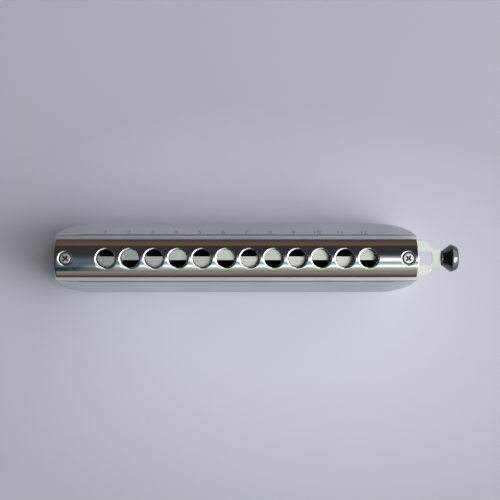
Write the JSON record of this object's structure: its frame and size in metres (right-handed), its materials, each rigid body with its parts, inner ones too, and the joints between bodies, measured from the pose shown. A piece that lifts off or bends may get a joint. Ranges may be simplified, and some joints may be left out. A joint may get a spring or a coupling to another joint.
{
  "type": "chromatic harmonica",
  "caption": "Chromatic harmonica with round mouth holes, pressed covers, a comb with reed plates and a sprung slide with a button.",
  "frame": {"origin": "centre of the comb's rear face, the face that the harmonica stands on", "axes": "+X along the harmonica towards the slide button, +Y towards the cover with the hole numbers, +Z out of the mouthpiece"},
  "size_m": [0.1573, 0.0274, 0.042],
  "materials": {
    "comb": "satin moulded black plastic",
    "plate": "machined brass",
    "reed": "polished spring brass",
    "windsaver": "thin pale plastic film",
    "cover": "satin steel",
    "screw": "bright steel",
    "back_plate": "nickel silver sheet",
    "slide": "plated sheet, lightly brushed",
    "button": "dark polished chrome",
    "spring": "spring steel wire",
    "bumper": "soft sleeve",
    "mouthpiece": "polished chrome plate"
  },
  "bodies": {
    "harmonica_body": {"comb": "comb", "upper_reed_plate": "plate", "lower_reed_plate": "plate", "upper_blow_reeds": "reed", "lower_blow_reeds": "reed", "upper_draw_reeds": "reed", "lower_draw_reeds": "reed", "upper_inner_windsavers": "windsaver", "lower_inner_windsavers": "windsaver", "upper_outer_windsavers": "windsaver", "lower_outer_windsavers": "windsaver", "reed_plate_screws": "screw", "upper_cover": "cover", "lower_cover": "cover", "cover_bolts": "screw", "cover_nuts": "screw", "slide_back_plate": "back_plate", "slide_spring": "spring", "slide_bumper": "bumper", "mouthpiece_screw_nuts": "screw", "mouthpiece": "mouthpiece", "mouthpiece_screws": "screw"},
    "slide": {"slide": "slide", "slide_button": "button"}
  },
  "joints": [
    {"name": "slide_travel", "type": "slide", "parent": "harmonica_body", "child": "slide", "axis": [-1, 0, 0], "range_m": [0, 0.0074], "stiffness_N_per_m": 120, "springref_m": -0.012, "deforming": ["slide_spring"]}
  ]
}
